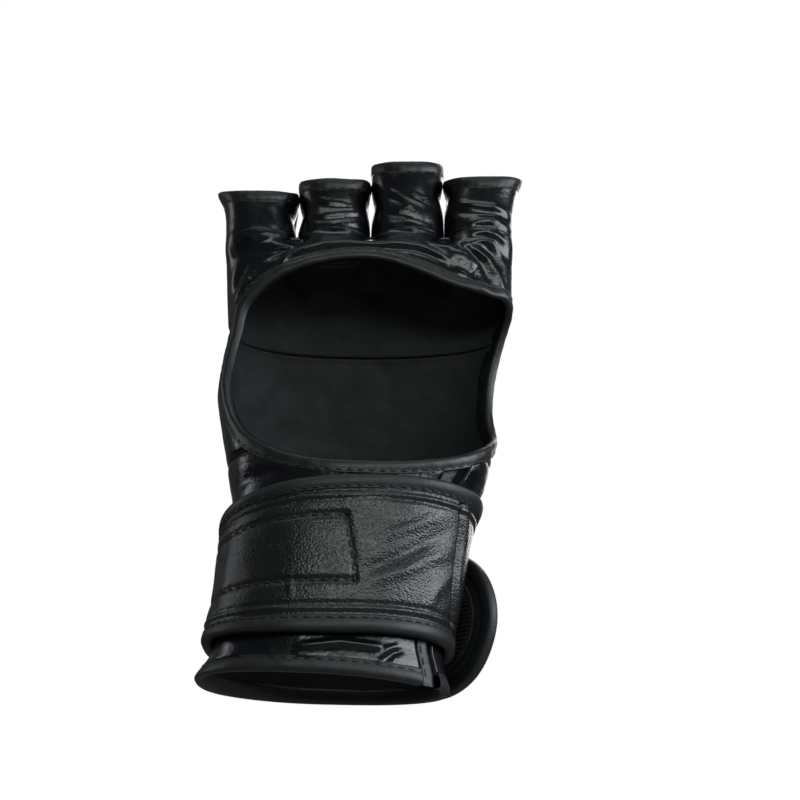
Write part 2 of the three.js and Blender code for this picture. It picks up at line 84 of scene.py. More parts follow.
# Angles round the glove, in degrees: 0 at the thumb side, -90 at the palm, 90 at the back of the hand.
SLIT_AT_MOUTH, SLIT_AT_SEAM = -41, -51
STRAP_FROM, STRAP_LEAVES = 20, -320
PALM_JOIN, HEEL_JOIN = -8, -112

# Level sections: up is a share of the web's height, wide and thin go from the wrist's size to the palm's.
SECTIONS = [
    dict(up=0.0, wide=0.23, thin=0.0, shift=0.0),
    dict(up=0.025, wide=0.19, thin=0.0, shift=0.04),
    dict(up=0.08, wide=0.0, thin=0.0, shift=0.16),
    dict(up=0.19, wide=0.02, thin=0.0, shift=0.37),
    dict(up=0.27, wide=0.06, thin=0.0, shift=0.48),
    dict(up=0.33, wide=0.11, thin=0.0, shift=0.59),
    dict(up=0.375, wide=0.2, thin=0.02, shift=0.68),
    dict(up=0.42, wide=0.39, thin=0.06, shift=0.8),
    dict(up=0.49, wide=0.54, thin=0.18, shift=0.82),
    dict(up=0.62, wide=0.79, thin=0.5, shift=0.84),
    dict(up=0.71, wide=0.82, thin=0.72, shift=0.94),
    dict(up=0.77, wide=0.82, thin=0.83, shift=1.01),
    dict(up=0.86, wide=0.9, thin=0.95, shift=1.02),
    dict(up=1.0, wide=1.0, thin=1.0, shift=1.0),
]
SQUARENESS = 2.3

# Edge of the palm and thumb opening, once round it.
OPENING = [
    dict(around=-90, up=0.907),
    dict(around=-74, up=0.878),
    dict(around=-58, up=0.848),
    dict(around=-38, up=0.838),
    dict(around=-12, up=0.838),
    dict(around=10, up=0.795),
    dict(around=22, up=0.71),
    dict(around=22, up=0.62),
    dict(around=8, up=0.548),
    dict(around=-12, up=0.502),
    dict(around=-32, up=0.46),
    dict(around=-54, up=0.425),
    dict(around=-78, up=0.408),
    dict(around=-105, up=0.417),
    dict(around=-127, up=0.455),
    dict(around=-146, up=0.52),
    dict(around=-154, up=0.6),
    dict(around=-156, up=0.7),
    dict(around=-151, up=0.79),
    dict(around=-134, up=0.85),
    dict(around=-111, up=0.893),
]
FINGERS = [
    dict(name="little", share=0.247, reach=0.57),
    dict(name="ring", share=0.256, reach=0.74),
    dict(name="middle", share=0.256, reach=1.0),
    dict(name="index", share=0.241, reach=0.77),
]
SLITS = [
    dict(up=0.4, long=0.19, wide=1.0),
    dict(up=0.56, long=0.2, wide=0.7),
    dict(up=0.67, long=0.16, wide=0.75),
]
LOOP_VALLEY = 0.55

# Folds of the leather: line and wide in pixels of the picture, high in millimetres, negative for a hollow.
FOLDS = [
    # little finger loop
    dict(line=((269, 228), (275, 231), (282, 236)), wide=3.5, high=0.35),
    dict(line=((263, 236), (268, 235), (273, 238)), wide=3.2, high=0.35),
    dict(line=((241, 237), (255, 236), (264, 238)), wide=2.7, high=0.17),
    dict(line=((258, 247), (265, 243.5), (274, 242), (288, 245)), wide=3.2, high=0.40),
    dict(line=((232, 230), (252, 229), (268, 232), (290, 239)), wide=3.8, high=-0.30),
    dict(line=((244, 250), (262, 251), (290, 251)), wide=4.1, high=-0.25),
    dict(line=((226, 216), (227, 232)), wide=2.7, high=0.25),
    dict(line=((227, 245), (231, 258)), wide=2.7, high=0.30),
    dict(line=((241, 259), (235, 273), (232, 288)), wide=3.5, high=0.40),
    dict(line=((247, 262), (240, 278), (236, 294)), wide=3.0, high=-0.40),
    dict(line=((252, 277), (241, 296), (235, 317)), wide=6.0, high=1.2),
    dict(line=((262, 280), (248, 298), (240, 318)), wide=4.1, high=-0.20),
    # roll of leather above the opening's edge
    dict(line=((278, 268), (288, 257), (301, 250.5), (324, 244), (355, 241), (376, 242)),
         wide=3.8, high=1.15),
    dict(line=((290, 266), (304, 256.5), (326, 250), (352, 247), (384, 248)), wide=2.8, high=-0.6),
    dict(line=((266, 258), (284, 249), (300, 243)), wide=3.4, high=-0.7),
    dict(line=((376, 242), (400, 243), (422, 247), (440, 255), (447, 260)), wide=3.8, high=1.05),
    dict(line=((384, 248), (414, 250), (430, 255), (443, 262)), wide=2.8, high=-0.5),
    # ring finger loop
    dict(line=((317, 199), (334, 201.5), (352, 204.5), (359, 209)), wide=2.7, high=0.22),
    dict(line=((318, 206), (338, 207), (354, 208)), wide=2.7, high=-0.22),
    dict(line=((318, 215), (335, 213.5), (348, 211), (359, 212.5)), wide=3.3, high=0.28),
    dict(line=((316, 220), (338, 218.5), (360, 217)), wide=2.7, high=-0.25),
    dict(line=((330, 226), (342, 223), (360, 222)), wide=2.8, high=0.25),
    dict(line=((334, 227), (348, 230), (359, 236)), wide=3.0, high=0.25),
    dict(line=((344, 227), (360, 229)), wide=2.1, high=-0.16),
    dict(line=((318, 232), (336, 235), (358, 240)), wide=3.6, high=-0.28),
    # middle finger loop
    dict(line=((386, 189), (398, 195), (406, 200.5), (412, 206)), wide=2.7, high=0.28),
    dict(line=((398, 204), (411, 206), (421, 210.5), (430, 216)), wide=5.1, high=0.35),
    dict(line=((388, 197), (398, 201), (406, 207)), wide=2.4, high=-0.17),
    dict(line=((413, 191), (429, 198)), wide=2.7, high=0.21),
    dict(line=((410, 196), (420, 202), (431, 207)), wide=2.7, high=-0.24),
    dict(line=((388, 214), (404, 215), (418, 220), (431, 225)), wide=3.0, high=-0.32),
    dict(line=((388, 223.5), (401, 223.5), (410, 229), (421, 235)), wide=2.7, high=0.28),
    dict(line=((404, 222), (418, 224), (430, 231)), wide=2.5, high=0.17),
    dict(line=((398, 231), (412, 233), (424, 236)), wide=2.4, high=-0.24),
    dict(line=((402, 236.5), (415, 235.5), (424, 238.5), (433, 244)), wide=2.7, high=0.28),
    # index finger loop
    dict(line=((458, 203), (477, 204.5), (495, 207), (505, 211), (511, 219)), wide=2.7, high=0.50),
    dict(line=((456, 212), (476, 212), (496, 214), (506, 221)), wide=3.8, high=-0.55),
    dict(line=((472, 222.5), (486, 219), (499, 221), (510, 230)), wide=3.5, high=0.55),
    dict(line=((474, 226.5), (490, 226), (504, 234)), wide=2.3, high=-0.40),
    dict(line=((472, 232), (486, 231), (496, 235), (506, 243)), wide=2.7, high=0.40),
    dict(line=((472, 237), (484, 236), (494, 240)), wide=2.2, high=-0.35),
    dict(line=((468, 242.5), (481, 240), (492, 243), (500, 256)), wide=2.6, high=0.40),
    dict(line=((468, 244), (479, 252), (488, 260), (497, 275), (506, 296)), wide=2.6, high=0.9),
    dict(line=((484, 246), (492, 254), (500, 268)), wide=2.7, high=-0.40),
    dict(line=((454, 243), (470, 249), (482, 261), (491, 278), (497, 298)), wide=4.2, high=-1.5),
    dict(line=((501, 256), (505, 268), (508, 284)), wide=2.7, high=0.35),
    # bulge beside the thumb, between the roll and the long crease
    dict(line=((449, 252), (463, 257), (475, 268)), wide=8.0, high=1.5),
    dict(line=((456, 271), (470, 279), (484, 290)), wide=3.0, high=0.5),
    # leather between the opening and the strap
    dict(line=((236, 470), (262, 462), (288, 466)), wide=5.0, high=0.7),
    dict(line=((232, 492), (246, 480), (268, 474)), wide=4.0, high=-0.6),
    dict(line=((226, 460), (227, 480), (222, 500)), wide=3.0, high=0.7),
    dict(line=((440, 474), (462, 481), (478, 492)), wide=5.0, high=0.35),
    # leather below the strap
    dict(line=((300, 646), (340, 642), (382, 647)), wide=3.6, high=0.9),
    dict(line=((380, 657), (387, 649), (397, 646)), wide=1.8, high=0.9),
    dict(line=((386, 660), (394, 653), (402, 651)), wide=1.8, high=-0.9),
]

# Folds of the strap's field, in the same columns.
STRAP_FOLDS = [
    dict(line=((262, 508), (300, 497), (340, 496), (390, 499)), wide=2.6, high=0.45),
    dict(line=((447, 532), (420, 546), (396, 558), (366, 570)), wide=6.0, high=-0.55),
    dict(line=((450, 552), (428, 560), (404, 571), (376, 580)), wide=6.5, high=0.5),
    dict(line=((440, 516), (410, 527), (384, 536)), wide=6.0, high=0.5),
    dict(line=((452, 574), (436, 592), (424, 616)), wide=6.0, high=0.4),
    dict(line=((290, 580), (291, 594)), wide=3.0, high=0.3),
    dict(line=((226, 540), (218, 575), (212, 610)), wide=4.0, high=-0.5),
    dict(line=((212, 612), (206, 634)), wide=4.0, high=0.6),
    dict(line=((464, 500), (461, 530), (456, 575), (453, 620), (450, 662)), wide=1.9, high=-1.1),
    dict(line=((469, 505), (465, 545), (459, 590), (456, 630)), wide=3.0, high=0.5),
]


# Surfaces
def track_points(column):
    """One column of the sections on a smooth curve, as heights and values for interpolation."""
    ups = [row["up"] for row in SECTIONS]
    values = [row[column] for row in SECTIONS]
    last = len(ups) - 1
    heights, curve = [], []
    for i in range(last):
        before, after = max(i - 1, 0), min(i + 2, last)
        span = ups[i + 1] - ups[i]
        leave = (values[i + 1] - values[before]) / (ups[i + 1] - ups[before]) * span
        arrive = (values[after] - values[i]) / (ups[after] - ups[i]) * span
        turn = 2 * (values[i] - values[i + 1]) + leave + arrive
        bend = 3 * (values[i + 1] - values[i]) - 2 * leave - arrive
        for t in np.linspace(0, 1, 12, endpoint=False):
            heights.append((ups[i] + t * span) * WEB_HEIGHT)
            curve.append(((turn * t + bend) * t + leave) * t + values[i])
    return heights + [WEB_HEIGHT], curve + [values[last]]


TRACKS = {column: track_points(column) for column in ("wide", "thin", "shift")}


def track(column, z):
    return np.interp(z, *TRACKS[column])


def mix(a, b, share):
    return a + (b - a) * share


def ease(value, low, high):
    """0 below low, 1 above high, and a smooth rise between them."""
    share = np.clip((value - low) / (high - low), 0, 1)
    return share * share * (3 - 2 * share)


def rounded(x, y, width, depth, around, z):
    """Points of a rounded section with half sizes width and depth round (x, y)."""
    c, s = np.cos(np.radians(around)), np.sin(np.radians(around))
    power = 2 / SQUARENESS
    px = x + width * np.sign(c) * np.abs(c) ** power
    py = y + depth * np.sign(s) * np.abs(s) ** power
    return np.stack(np.broadcast_arrays(px, py, z), axis=-1)


def body(around, z, out):
    """Points of the glove's body that stand out mm off its hollow."""
    thin = track("thin", z)
    width = mix(WRIST_WIDTH, PALM_WIDTH, track("wide", z))
    depth = mix(WRIST_DEPTH, PALM_DEPTH, thin)
    x = HAND_SHIFT * track("shift", z)
    return rounded(x, PALM_LIFT * thin, width / 2 + out, depth / 2 + out, around, z)


def turn_of(length, around, z):
    """Degrees round the body that a length takes."""
    step = body(around + 0.5, z, LEATHER) - body(around - 0.5, z, LEATHER)
    return length / np.linalg.norm(step)


def picture(points):
    """Where the camera sees points, in the picture's pixels."""
    away = points - CAMERA_AT
    ahead = np.array([0, math.cos(CAMERA_RISE), math.sin(CAMERA_RISE)])
    above = np.array([0, -math.sin(CAMERA_RISE), math.cos(CAMERA_RISE)])
    depth = away @ ahead
    return PICTURE / 2 + FOCAL * away[..., 0] / depth, PICTURE / 2 - FOCAL * (away @ above) / depth


def folds_at(points, folds):
    """Height of the folds at points of the side that faces the camera."""
    px, py = picture(points)
    lift = np.zeros(px.shape)
    for fold in folds:
        line = [np.array(p, float) for p in fold["line"]]
        steps = [np.linalg.norm(b - a) for a, b in zip(line, line[1:])]
        total, walked = sum(steps), 0
        nearest = np.full(px.shape, 1e9)
        share = np.zeros(px.shape)
        for a, b, step in zip(line, line[1:], steps):
            dx, dy = (b - a) / step
            along = np.clip((px - a[0]) * dx + (py - a[1]) * dy, 0, step)
            apart = np.hypot(px - a[0] - along * dx, py - a[1] - along * dy)
            closer = apart < nearest
            nearest = np.where(closer, apart, nearest)
            share = np.where(closer, (walked + along) / total, share)
            walked += step
        taper = np.sqrt(np.clip(4 * share * (1 - share) + 0.12, 0, 1))
        lift += fold["high"] * taper * np.exp(-((nearest / fold["wide"]) ** 2))
    return lift


def ripple(points, size, seed):
    """Soft uneven waves about size mm across, between -1 and 1, the same on every run."""
    rng = np.random.default_rng(seed)
    total = np.zeros(points.shape[:-1])
    for _ in range(9):
        way = rng.normal(size=3)
        way *= rng.uniform(0.6, 1.5) / np.linalg.norm(way)
        total += np.sin(points @ way * (2 * math.pi / size) + rng.uniform(0, 2 * math.pi))
    return total / 4.5


def catmull(line, count):
    """A smooth closed curve through the corners of the opening, and its heading, at count places."""
    places, headings = [], []
    n = len(line)
    for k in range(count):
        at = k / count * n
        i, t = int(at), at - int(at)
        p0, p1, p2, p3 = (line[(i + j) % n] for j in (-1, 0, 1, 2))
        d0, d1, d2 = (math.sqrt(np.linalg.norm(b - a)) for a, b in ((p0, p1), (p1, p2), (p2, p3)))
        leave = ((p1 - p0) / d0 - (p2 - p0) / (d0 + d1) + (p2 - p1) / d1) * d1
        arrive = ((p2 - p1) / d1 - (p3 - p1) / (d1 + d2) + (p3 - p2) / d2) * d1
        bend = 3 * (p2 - p1) - 2 * leave - arrive
        turn = 2 * (p1 - p2) + leave + arrive
        places.append(((turn * t + bend) * t + leave) * t + p1)
        headings.append((3 * turn * t + 2 * bend) * t + leave)
    return np.array(places), np.array(headings)


def opening_edge():
    """The opening's edge as (angle, height), and the step into the leather for each mm."""
    corners = [np.array([row["around"], row["up"] * WEB_HEIGHT], float) for row in OPENING]
    places, headings = catmull(corners, 360)
    around, z = places.T
    per_degree = body(around + 0.5, z, 0) - body(around - 0.5, z, 0)
    per_rise = body(around, z + 0.5, 0) - body(around, z - 0.5, 0)
    along = per_degree * headings[:, :1] + per_rise * headings[:, 1:]
    away = -np.cross(along, np.cross(per_degree, per_rise))
    away /= np.linalg.norm(away, axis=1, keepdims=True)
    aa, bb, ab = ((p * q).sum(1) for p, q in ((per_degree,) * 2, (per_rise,) * 2, (per_degree, per_rise)))
    a, b = (away * per_degree).sum(1), (away * per_rise).sum(1)
    scale = 1 / (aa * bb - ab * ab)
    return places, np.stack((scale * (a * bb - b * ab), scale * (b * aa - a * ab)), axis=1)


EDGE, EDGE_STEP = opening_edge()
BAND_LOW = (EDGE + (TAPE_WIDTH + CLEARANCE) * EDGE_STEP)[:, 1].max()


def stretch(line, start, stop):
    """The part of a closed line from one place to another."""
    count = (stop - start) % len(line)
    return line[(start + np.arange(count + 1)) % len(line)]


def opening_sides(reach):
    """The opening's edge moved reach mm into the leather, as its upper, lower, thumb and outer sides."""
    line = EDGE + reach * EDGE_STEP
    left, right = np.argmin(line[:, 0]), np.argmax(line[:, 0])
    low, high = np.argmin(line[:, 1]), np.argmax(line[:, 1])
    lower = stretch(line, right, left)[::-1]
    upper = stretch(line, left, right)
    thumb = stretch(line, high, low)[::-1]
    outer = stretch(line, low, high)
    return upper, lower, thumb, outer


UPPER, LOWER, THUMB, OUTER = opening_sides(TAPE_WIDTH - 1.2)


def mouth(around):
    turned = (1 - np.cos(np.radians(around - SLIT_AT_MOUTH))) / 2
    return MOUTH_RISE * turned ** 0.6


def slit_at(z):
    return mix(SLIT_AT_MOUTH, SLIT_AT_SEAM, z / CUFF_SEAM)


LOOPS_WIDTH = PALM_WIDTH + 2 * LEATHER
LOOPS_APART = 0.05


def draw_in(slit, z):
    """How far a loop draws in from the line between it and its neighbour, which it nearly touches."""
    away = ((z - WEB_HEIGHT) / LOOP_REACH - slit["up"]) / slit["long"]
    return LOOPS_APART + (LOOP_GAP / 2 + CLEARANCE / 2 + RIM_RAISE) * slit["wide"] * np.exp(-away ** 2)


def loop_width(finger, z, up):
    place = FINGERS.index(finger)
    before = sum(other["share"] for other in FINGERS[:place])
    flare = -LOOP_FLARE * up ** 3
    low = flare if place == 0 else draw_in(SLITS[place - 1], z)
    high = flare if place == len(FINGERS) - 1 else draw_in(SLITS[place], z)
    left = HAND_SHIFT + LOOPS_WIDTH * (before - 0.5) + low
    right = HAND_SHIFT + LOOPS_WIDTH * (before + finger["share"] - 0.5) - high
    return (left + right) / 2, (right - left) / 2


def rim(finger, around):
    back = LOOP_DEPTH / 2 * (1 + np.sin(np.radians(around)))
    return WEB_HEIGHT + finger["reach"] * LOOP_REACH + RIM_SLOPE * back


def loop(finger, around, z, out):
    """Points of a finger loop that stand out mm off its hollow."""
    up = np.clip((z - WEB_HEIGHT) / (rim(finger, around) - WEB_HEIGHT), 0, 1)
    x, half = loop_width(finger, z, up)
    grow = out - LEATHER
    return rounded(x, PALM_LIFT, half + grow, LOOP_DEPTH / 2 + grow, around, z)


def loops_reach(x):
    """How far the row of loops stands from the knuckles' middle plane, with valleys between the fingers."""
    inner = np.abs(x - HAND_SHIFT) < LOOPS_WIDTH * (0.5 - FINGERS[0]["share"] / 2)
    reach = np.where(inner, LOOP_VALLEY * LOOP_DEPTH / 2, 0)
    for finger in FINGERS:
        middle, half = loop_width(finger, WEB_HEIGHT, 0.0)
        share = np.minimum(np.abs(x - middle) / half, 1)
        reach = np.maximum(reach, LOOP_DEPTH / 2 * (1 - share ** SQUARENESS) ** (1 / SQUARENESS))
    return reach


def knuckles(around, z, out):
    """Points of the body near the fingers, where it takes the shape of the row of loops."""
    points = body(around, z, LEATHER)
    moved = body(around, z, out) - points
    blend = ease(z, BAND_LOW, WEB_HEIGHT)
    y = mix(points[:, 1], PALM_LIFT + np.sign(around) * loops_reach(points[:, 0]), blend)
    points[:, 1] = np.where(around > 0, np.minimum(points[:, 1], y), y)
    return points + moved


# Strap: its inner face's height on the wrist, and what its second turn adds
STRAP_IN = LEATHER + TAPE_RAISE + CLEARANCE
STRAP_LIFT = STRAP_THICKNESS + TAPE_RAISE + CLEARANCE
STRAP_ROUND = STRAP_WIDTH / 2
WOUND = math.pi * (WRIST_WIDTH / 2 + WRIST_DEPTH / 2 + 2 * STRAP_IN) * (STRAP_FROM - STRAP_LEAVES) / 360
STRAP_TOTAL = WOUND + FLAP_LENGTH


def strap_heading():
    ends = body(np.array([STRAP_LEAVES, STRAP_LEAVES + 1.0]), STRAP_END_HEIGHT, STRAP_IN + STRAP_LIFT)
    return (ends[0] - ends[1]) / np.linalg.norm(ends[0] - ends[1])


HEADING = strap_heading()


def strap(along, offset, out):
    """Points of the strap: along it, off its middle line and out from its inner face."""
    turn = np.clip(along / WOUND, 0, 1)
    around = mix(STRAP_FROM, STRAP_LEAVES, turn)
    waist = STRAP_WAIST * ease(turn, 0.3, 0.6) * (1 - ease(turn, 0.7, 0.95))
    rise = offset * (1 - waist / STRAP_ROUND)
    height = mix(STRAP_START_HEIGHT, STRAP_END_HEIGHT, turn * turn) + rise
    lift = STRAP_IN + STRAP_LIFT * ease(turn, 0.72, 1) + out
    level = height - rise * ease(turn, 0.85, 1)
    points = body(around, level, lift)
    points[..., 2] = height
    return points + HEADING * np.maximum(along - WOUND, 0)[..., None]


# Materials
def socket(group, name, kind, way, value=None):
    made = group.interface.new_socket(name=name, in_out=way, socket_type=kind)
    if value is not None:
        made.default_value = value
    return made


def grain_group():
    """Leather grain: pebbles, pores and creases as a height, and a tone and a gloss that vary."""
    group = bpy.data.node_groups.new("Leather Grain", "ShaderNodeTree")
    socket(group, "Vector", "NodeSocketVector", "INPUT")
    socket(group, "Pebble", "NodeSocketFloat", "INPUT", 900.0)
    socket(group, "Crease", "NodeSocketFloat", "INPUT", 0.5)
    socket(group, "Height", "NodeSocketFloat", "OUTPUT")
    socket(group, "Tone", "NodeSocketFloat", "OUTPUT")
    socket(group, "Gloss", "NodeSocketFloat", "OUTPUT")
    nodes, links = group.nodes, group.links
    given, taken = nodes.new("NodeGroupInput"), nodes.new("NodeGroupOutput")

    def texture(kind, scale, **values):
        node = nodes.new(kind)
        links.new(given.outputs["Vector"], node.inputs["Vector"])
        if isinstance(scale, (int, float)):
            node.inputs["Scale"].default_value = scale
        else:
            links.new(scale, node.inputs["Scale"])
        for name, value in values.items():
            node.inputs[name].default_value = value
        return node

    def maths(operation, a, b):
        node = nodes.new("ShaderNodeMath")
        node.operation = operation
        for slot_in, value in zip(node.inputs, (a, b)):
            if isinstance(value, (int, float)):
                slot_in.default_value = value
            else:
                links.new(value, slot_in)
        return node.outputs[0]

    pebble = texture("ShaderNodeTexVoronoi", given.outputs["Pebble"])
    pebble.feature = "SMOOTH_F1"
    pebble.inputs["Smoothness"].default_value = 0.35
    pores = texture("ShaderNodeTexNoise", 2600.0, Detail=3.0, Roughness=0.6)
    crease = texture("ShaderNodeTexNoise", 170.0, Detail=6.0, Roughness=0.62, Distortion=1.4)
    patch = texture("ShaderNodeTexNoise", 38.0, Detail=3.0, Roughness=0.5)
    smear = texture("ShaderNodeTexNoise", 85.0, Detail=4.0, Roughness=0.6, Distortion=0.6)
    bumps = maths("SUBTRACT", 1.0, pebble.outputs["Distance"])
    fine = maths("MULTIPLY", pores.outputs["Fac"], 0.45)
    ridge = maths("ABSOLUTE", maths("SUBTRACT", crease.outputs["Fac"], 0.5), 0.0)
    line = maths("POWER", maths("MULTIPLY", ridge, 7.0), 0.6)
    cut = maths("MULTIPLY", maths("MINIMUM", line, 1.0), given.outputs["Crease"])
    links.new(maths("ADD", maths("ADD", bumps, fine), cut), taken.inputs["Height"])
    links.new(patch.outputs["Fac"], taken.inputs["Tone"])
    links.new(smear.outputs["Fac"], taken.inputs["Gloss"])
    return group


GRAIN = grain_group()


def leather(name, dark, light, smooth, rough, pebble, depth, crease, coat=0.0):
    """Black leather: tones, roughness where smooth and rough, pebbles per metre and their depth in mm."""
    material = bpy.data.materials.new(name)
    material.use_nodes = True
    nodes, links = material.node_tree.nodes, material.node_tree.links
    shader = nodes["Principled BSDF"]
    place = nodes.new("ShaderNodeTexCoord")
    grain = nodes.new("ShaderNodeGroup")
    grain.node_tree = GRAIN
    links.new(place.outputs["Object"], grain.inputs["Vector"])
    grain.inputs["Pebble"].default_value = pebble
    grain.inputs["Crease"].default_value = crease
    tone = nodes.new("ShaderNodeValToRGB")
    tone.color_ramp.elements[0].position, tone.color_ramp.elements[0].color = 0.3, (*dark, 1)
    tone.color_ramp.elements[1].position, tone.color_ramp.elements[1].color = 0.72, (*light, 1)
    links.new(grain.outputs["Tone"], tone.inputs["Fac"])
    links.new(tone.outputs["Color"], shader.inputs["Base Color"])
    gloss = nodes.new("ShaderNodeMapRange")
    gloss.inputs["From Min"].default_value = 0.32
    gloss.inputs["From Max"].default_value = 0.68
    gloss.inputs["To Min"].default_value = smooth
    gloss.inputs["To Max"].default_value = rough
    links.new(grain.outputs["Gloss"], gloss.inputs["Value"])
    links.new(gloss.outputs["Result"], shader.inputs["Roughness"])
    bump = nodes.new("ShaderNodeBump")
    bump.inputs["Strength"].default_value = 1.0
    bump.inputs["Distance"].default_value = depth * MM
    links.new(grain.outputs["Height"], bump.inputs["Height"])
    links.new(bump.outputs["Normal"], shader.inputs["Normal"])
    shader.inputs["IOR"].default_value = 1.5
    shader.inputs["Coat Weight"].default_value = coat
    shader.inputs["Coat Roughness"].default_value = 0.22
    return material


def thread(name, tone):
    """Waxed thread: fine slanting strands, with painted shade that darkens the grooves between them."""
    material = bpy.data.materials.new(name)
    material.use_nodes = True
    nodes, links = material.node_tree.nodes, material.node_tree.links
    shader = nodes["Principled BSDF"]
    place = nodes.new("ShaderNodeTexCoord")
    wave = nodes.new("ShaderNodeTexWave")
    bump = nodes.new("ShaderNodeBump")
    wave.inputs["Scale"].default_value = 900.0
    wave.inputs["Distortion"].default_value = 2.0
    links.new(place.outputs["Object"], wave.inputs["Vector"])
    # Painted shade: the colour falls to half in the grooves that the same wave sinks through the bump.
    ramp = nodes.new("ShaderNodeValToRGB")
    ramp.color_ramp.elements[0].color = (*(0.5 * t for t in tone), 1)
    ramp.color_ramp.elements[1].color = (*tone, 1)
    links.new(wave.outputs["Fac"], ramp.inputs["Fac"])
    links.new(ramp.outputs["Color"], shader.inputs["Base Color"])
    bump.inputs["Distance"].default_value = 0.05 * MM
    links.new(wave.outputs["Fac"], bump.inputs["Height"])
    links.new(bump.outputs["Normal"], shader.inputs["Normal"])
    shader.inputs["Roughness"].default_value = 0.5
    return material


def hook_tape(name):
    """Matte hook tape: a dark woven ground, with painted shade in the hollows between its bumps."""
    material = bpy.data.materials.new(name)
    material.use_nodes = True
    nodes, links = material.node_tree.nodes, material.node_tree.links
    shader = nodes["Principled BSDF"]
    place = nodes.new("ShaderNodeTexCoord")
    weave = nodes.new("ShaderNodeTexVoronoi")
    weave.inputs["Scale"].default_value = 1500.0
    links.new(place.outputs["Object"], weave.inputs["Vector"])
    # Painted shade: lighter on the raised middles of the cells and darker in the hollows at their edges,
    # which the inverted bump sinks.
    ramp = nodes.new("ShaderNodeValToRGB")
    ramp.color_ramp.elements[0].color = (0.004, 0.004, 0.0045, 1)
    ramp.color_ramp.elements[1].color = (0.0012, 0.0012, 0.0012, 1)
    links.new(weave.outputs["Distance"], ramp.inputs["Fac"])
    links.new(ramp.outputs["Color"], shader.inputs["Base Color"])
    bump = nodes.new("ShaderNodeBump")
    bump.invert = True
    bump.inputs["Distance"].default_value = 0.2 * MM
    links.new(weave.outputs["Distance"], bump.inputs["Height"])
    links.new(bump.outputs["Normal"], shader.inputs["Normal"])
    shader.inputs["Roughness"].default_value = 0.9
    return material


SHELL = leather("soft_black_leather", dark=(0.0012, 0.0014, 0.0022), light=(0.003, 0.0034, 0.005),
                smooth=0.15, rough=0.26, pebble=950.0, depth=0.04, crease=0.5)
STRAP = leather("strap_leather", dark=(0.006, 0.0062, 0.0064), light=(0.0095, 0.0098, 0.01),
                smooth=0.21, rough=0.3, pebble=1500.0, depth=0.11, crease=0.3)
# Rim leather is the binding leather again in darker tones, a painted shade; it dresses the finger rims, the
# opening's bindings and the slit's binding, and is a little glossier.
RIM_PAINTED_SHADE = leather("rim_leather_painted_shade", dark=(0.0016, 0.0018, 0.0022), light=(0.004, 0.0044, 0.0052),
              smooth=0.36, rough=0.5, pebble=1100.0, depth=0.04, crease=0.3)
BINDING = leather("binding_leather", dark=(0.0055, 0.006, 0.0065), light=(0.01, 0.0105, 0.012),
                  smooth=0.42, rough=0.56, pebble=1100.0, depth=0.04, crease=0.3)
PADDING = leather("pad_leather", dark=(0.003, 0.0034, 0.0045), light=(0.008, 0.0085, 0.011),
                  smooth=0.3, rough=0.44, pebble=850.0, depth=0.07, crease=0.6, coat=0.12)
INNER = leather("inner_leather", dark=(0.0025, 0.0026, 0.0028), light=(0.0045, 0.0046, 0.005),
                smooth=0.75, rough=0.9, pebble=1300.0, depth=0.08, crease=0.3)
THREAD = thread("black_thread", (0.002, 0.002, 0.0022))
HOOKS = hook_tape("black_hook_tape")


# Making pieces
def finished(name, bm, material, nodes=()):
    """A mesh becomes a piece of the glove that rides on it and stands for solids."""
    for face in bm.faces:
        face.smooth = True
    mesh = bpy.data.meshes.new(name)
    bm.to_mesh(mesh)
    bm.free()
    piece = bpy.data.objects.new(name, mesh)
    bpy.context.collection.objects.link(piece)
    mesh.materials.append(material)
    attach(piece, "root")
    if nodes:
        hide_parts(*nodes)
    return piece


def laid(columns, rows, place, closed=False):
    """A grid laid where place(u, v) says, with its faces turned the way that out grows."""
    bm = bmesh.new()
    bmesh.ops.create_grid(bm, x_segments=columns, y_segments=rows, size=0.5)
    bm.verts.ensure_lookup_table()
    middle = min(bm.faces, key=lambda face: face.calc_center_median().length)
    shares = np.array([vert.co[:2] for vert in bm.verts]) + 0.5
    points = place(shares[:, 0], shares[:, 1], np.zeros(len(shares)))
    for vert, point in zip(bm.verts, points):
        vert.co = Vector(point) * MM
    bm.normal_update()
    half = np.array([0.5])
    outward = Vector((place(half, half, np.array([1.0])) - place(half, half, np.array([0.0])))[0])
    if middle.normal.dot(outward) < 0:
        bmesh.ops.reverse_faces(bm, faces=bm.faces[:])
    bmesh.ops.remove_doubles(bm, verts=bm.verts[:], dist=1e-6)
    if closed:
        bmesh.ops.recalc_face_normals(bm, faces=bm.faces[:])
    return bm


def panel(name, columns, rows, place, material, nodes, thickness=LEATHER):
    """A sheet of leather with its outer face laid by place and its thickness inside."""
    piece = finished(name, laid(columns, rows, place), material, nodes)
    wall = piece.modifiers.new("thickness", "SOLIDIFY")
    wall.thickness = thickness * MM
    wall.offset = -1
    wall.material_offset = wall.material_offset_rim = 1
    piece.data.materials.append(INNER)
    return piece


def worn(points, around, amount):
    """How far the leather stands off its smooth form: folds in front, and soft waves all over."""
    front = ease(-np.sin(np.radians(around)), 0.0, 0.5)
    waves = amount * (ripple(points, 26, 3) + 0.35 * ripple(points, 9, 4))
    return front * folds_at(points, FOLDS) + waves


def shell(around, z, out, amount, dip):
    """Points of the leather body with its folds; dip draws it in, as beside a seam."""
    smooth = body(around, z, LEATHER)
    return body(around, z, LEATHER + out + worn(smooth, around, amount) - dip)


def seam_dip(distance, depth=0.9, wide=1.3):
    """How far leather dips at a distance from a seam."""
    return depth * np.exp(-((distance / wide) ** 2))


# Leather shell
CUFF_TURN = 360 - turn_of(TAPE_WIDTH + 2 * CLEARANCE + SLIT_WIDTH, SLIT_AT_SEAM, CUFF_SEAM / 2)


